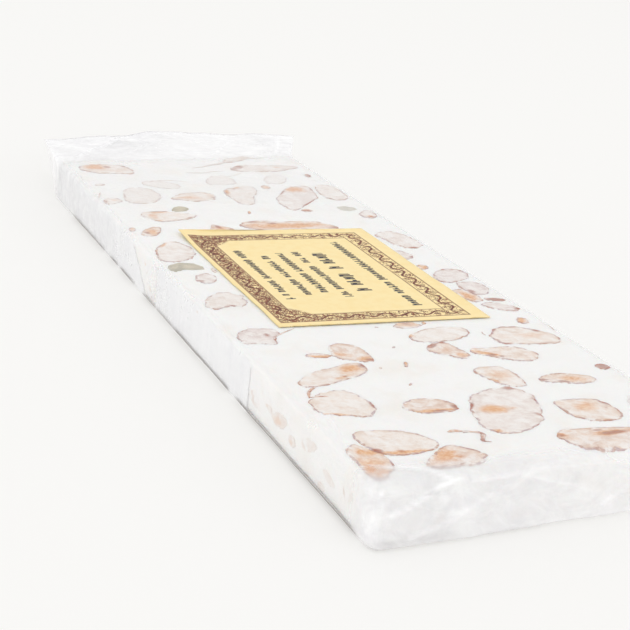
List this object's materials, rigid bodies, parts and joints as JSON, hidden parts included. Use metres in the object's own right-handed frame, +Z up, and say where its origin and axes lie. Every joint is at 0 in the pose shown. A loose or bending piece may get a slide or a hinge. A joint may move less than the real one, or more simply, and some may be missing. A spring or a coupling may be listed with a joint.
{
  "type": "nougat slice",
  "caption": "Flat sawn slice of white nougat with almond and pistachio pieces in section, wafer on its long sides, a pale yellow paper label on top and clear film round it.",
  "frame": {"origin": "bottom centre of the box round the whole, film ends included, on the surface it lies on", "axes": "+Y along the slice toward the end where the film is pressed flat, +Z up out of the labelled face, +X to the right seen from the folded end"},
  "size_m": [0.0704, 0.217, 0.0097],
  "materials": {
    "nougat": "soft white nougat, satin under the film",
    "wafer": "matt rice-paper wafer",
    "label": "matt printed paper",
    "film": "clear film with soft creases",
    "almond": "sawn nut flesh with a thin brown skin",
    "pistachio": "sawn green nut"
  },
  "bodies": {
    "root": {"nougat": "nougat", "wafer_left_far": "wafer", "wafer_left_near": "wafer", "wafer_right": "wafer", "label": "label", "film_far_end": "film", "film_near_end": "film", "almond_01": "almond", "almond_02": "almond", "almond_03": "almond", "almond_04": "almond", "almond_05": "almond", "almond_06": "almond", "almond_07": "almond", "almond_08": "almond", "almond_09": "almond", "almond_10": "almond", "almond_11": "almond", "almond_12": "almond", "almond_13": "almond", "almond_14": "almond", "almond_15": "almond", "almond_16": "almond", "almond_17": "almond", "almond_18": "almond", "almond_19": "almond", "almond_20": "almond", "almond_21": "almond", "almond_22": "almond", "almond_23": "almond", "almond_24": "almond", "almond_25": "almond", "almond_26": "almond", "almond_27": "almond", "almond_28": "almond", "almond_29": "almond", "almond_30": "almond", "almond_31": "almond", "almond_32": "almond", "almond_33": "almond", "almond_34": "almond", "almond_35": "almond", "almond_36": "almond", "almond_37": "almond", "almond_38": "almond", "almond_39": "almond", "almond_40": "almond", "almond_41": "almond", "almond_42": "almond", "almond_43": "almond", "almond_44": "almond", "almond_45": "almond", "pistachio_01": "pistachio", "pistachio_02": "pistachio", "pistachio_03": "pistachio"}
  },
  "joints": []
}
